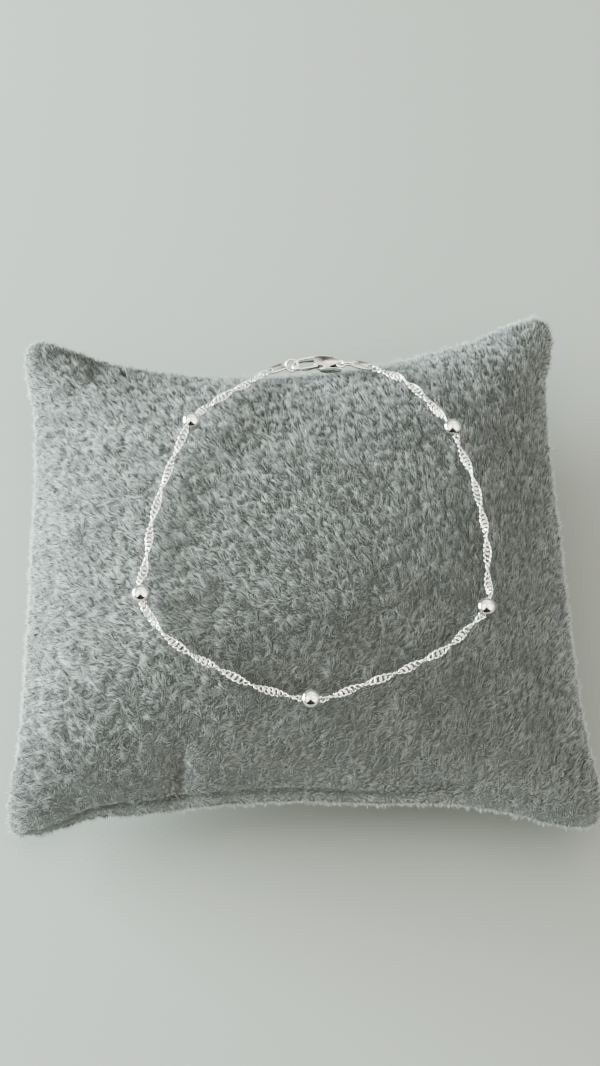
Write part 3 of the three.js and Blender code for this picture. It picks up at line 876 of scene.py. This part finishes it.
near, far = halves(CORNERS, 1)
quarters = dict(zip(("pile_near_left", "pile_near_right"), halves(near, 0)))
quarters |= zip(("pile_far_left", "pile_far_right"), halves(far, 0))
for number, (name, quarter) in enumerate(quarters.items()):
    rng = np.random.default_rng(PILE_SEED + number)
    piece(name, pile_mesh(name, *grow_fibres(rng, FIBRES_PER_PIECE, quarter)), PILE_FINISH)

# %% [markdown]
# ## Camera, floor and light
# The cushion lies on a counter and is looked down on from in front. The camera could be given a place
# and a rotation, but then any change of one would lose the aim. So it is placed by angles and a
# distance from one point of the cushion, and each can be changed alone.

# %% Camera
LOOK_AT = Vector((0.97, 5.05, 12)) * MM
AZIMUTH, ELEVATION, ROLL = (math.radians(x) for x in (-1.43, 57.36, -0.34))
DISTANCE = 347.7 * MM
LENS = 69.3  # for a 36 mm sensor along the picture's long side


def set_camera():
    level = math.cos(ELEVATION)
    back = Vector((math.sin(AZIMUTH) * level, -math.cos(AZIMUTH) * level, math.sin(ELEVATION)))
    data = bpy.data.cameras.new("camera")
    data.lens = LENS
    data.sensor_width = 36
    data.sensor_fit = "AUTO"
    data.clip_start = 0.01
    camera = bpy.data.objects.new("camera", data)
    turn = back.to_track_quat("Z", "Y") @ Matrix.Rotation(ROLL, 3, "Z").to_quaternion()
    camera.matrix_world = Matrix.LocRotScale(LOOK_AT + DISTANCE * back, turn, None)
    bpy.context.scene.collection.objects.link(camera)
    bpy.context.scene.camera = camera
    print("camera, mm:", [round(x / MM) for x in camera.matrix_world.translation])


set_camera()

# %% [markdown]
# ### The floor
# The counter is a pale, slightly polished stone. One flat square stands for it, a grid of a single
# face, so large that its edge stays out of sight.

# %% Floor
def pale_floor():
    bm = bmesh.new()
    bmesh.ops.create_grid(bm, x_segments=1, y_segments=1, size=8.0)
    material, tree = new_material("counter_pale_stone")
    shader = add(tree, "ShaderNodeBsdfPrincipled", {"Base Color": linear("#B4B9B1"), "Roughness": 0.45})
    add(tree, "ShaderNodeOutputMaterial", {"Surface": shader.outputs["BSDF"]})
    mesh = finished_mesh("floor", bm)
    mesh.materials.append(material)
    floor = bpy.data.objects.new("floor", mesh)
    bpy.context.scene.collection.objects.link(floor)
    return floor


FLOOR = pale_floor()
print("floor, m:", tuple(FLOOR.dimensions))

# %% [markdown]
# ### The lamps
# Daylight comes in low from a window on the left, so the left flank is bright and the right one dark.
# A sun lamp would throw hard shadows, so a wide rectangle of light is used. A weaker one answers for
# the rest of the room. The silver doesn't mirror that one, as it would show its square outline, and
# it doesn't light the floor, which gets enough from the window.

# %% Lamps
def soft_light(name, place, size, watts, colour, mirrored=True, dark=()):
    """A rectangle of light. It may stay out of reflections, and may leave some objects unlit."""
    data = bpy.data.lights.new(name, "AREA")
    data.shape, data.energy = "RECTANGLE", watts
    data.size, data.size_y = size
    data.color = linear(colour)[:3]
    lamp = bpy.data.objects.new(name, data)
    lamp.visible_glossy = mirrored
    turn = (Vector(place) - LOOK_AT).to_track_quat("Z", "Y")
    lamp.matrix_world = Matrix.LocRotScale(Vector(place), turn, None)
    bpy.context.scene.collection.objects.link(lamp)
    if dark:
        unlit = bpy.data.collections.new(f"unlit_by_{name}")
        for k, other in enumerate(dark):
            unlit.objects.link(other)
            unlit.collection_objects[k].light_linking.link_state = "EXCLUDE"
        lamp.light_linking.receiver_collection = unlit
    print(f"{name}: {watts} W, {size[0]} x {size[1]} m")


soft_light("window", (-0.55, 0.14, 0.085), (0.5, 0.16), 34.0, "#E4F4F6")
soft_light("room", (0.3, -0.5, 0.25), (0.6, 0.4), 6.8, "#F2F8FC", mirrored=False, dark=[FLOOR])

# %% [markdown]
# ### The room that the silver mirrors
# Polished silver has no look of its own without a room round it: walls that grow lighter towards the
# ceiling, soft patches, and the dark figure of whoever bends over it. A panorama image would give
# that too, but a few nodes that read only the direction are enough. The figure and the full
# brightness are for mirror rays alone, so the plush, the floor and the camera see an even, dimmer room.

# %% The room
ROOM_LIGHT, ROOM_MIRRORED = 1.0, 4.2
CEILING = Vector((0.2, -0.5, 0.85))  # where the room is brightest
# The figure fills the directions whose |x|, y and z, each times its weight here, add up to less than 0.
FIGURE = Vector((1.6, 2.0, 0.9))


def smooth_step(tree, value, start, end, low, high):
    return add(tree, "ShaderNodeMapRange", {
        "Value": value, "From Min": start, "From Max": end, "To Min": low, "To Max": high,
    }, interpolation_type="SMOOTHSTEP").outputs["Result"]


def room():
    """Grey walls with soft patches, a bright ceiling, and the dark figure."""
    world = bpy.data.worlds.new("room")
    bpy.context.scene.world = world
    world.use_nodes = True
    tree = world.node_tree
    tree.nodes.clear()
    direction = add(tree, "ShaderNodeTexCoord").outputs["Generated"]
    axes = add(tree, "ShaderNodeSeparateXYZ", {"Vector": direction})
    walls = add(tree, "ShaderNodeMix", {
        "Factor": smooth_step(tree, axes.outputs["Z"], 0.05, 0.45, 0, 1),
        "A": linear("#7E7D72"), "B": linear("#FAF8EC"),
    }, data_type="RGBA")
    toward = add(tree, "ShaderNodeVectorMath", {
        0: direction, 1: CEILING.normalized(),
    }, operation="DOT_PRODUCT")
    patches = add(tree, "ShaderNodeTexNoise", {"Vector": direction, "Scale": 1.6, "Detail": 1.0})
    aside = add(tree, "ShaderNodeMath", {0: axes.outputs["X"]}, operation="ABSOLUTE")
    folded = add(tree, "ShaderNodeCombineXYZ", {
        "X": aside.outputs["Value"], "Y": axes.outputs["Y"], "Z": axes.outputs["Z"],
    })
    beyond = add(tree, "ShaderNodeVectorMath", {
        0: folded.outputs["Vector"], 1: FIGURE,
    }, operation="DOT_PRODUCT")
    mirrored = add(tree, "ShaderNodeLightPath").outputs["Is Glossy Ray"]
    figure = add(tree, "ShaderNodeMix", {
        "Factor": mirrored, "A": 1.0,
        "B": smooth_step(tree, beyond.outputs["Value"], -0.08, 0.02, 0.01, 1),
    })
    colour = walls.outputs[2]
    for share in (
        smooth_step(tree, toward.outputs["Value"], -0.3, 0.9, 0.15, 1.6),
        smooth_step(tree, patches.outputs["Fac"], 0.4, 0.6, 0.5, 1.3),
        figure.outputs[0],
    ):
        scaled = add(tree, "ShaderNodeVectorMath", {0: colour, "Scale": share}, operation="SCALE")
        colour = scaled.outputs["Vector"]
    strength = add(tree, "ShaderNodeMapRange", {
        "Value": mirrored, "To Min": ROOM_LIGHT, "To Max": ROOM_MIRRORED,
    })
    back = add(tree, "ShaderNodeBackground", {"Color": colour, "Strength": strength.outputs["Result"]})
    add(tree, "ShaderNodeOutputWorld", {"Surface": back.outputs["Background"]})
    print("room:", len(tree.nodes), "nodes")


room()
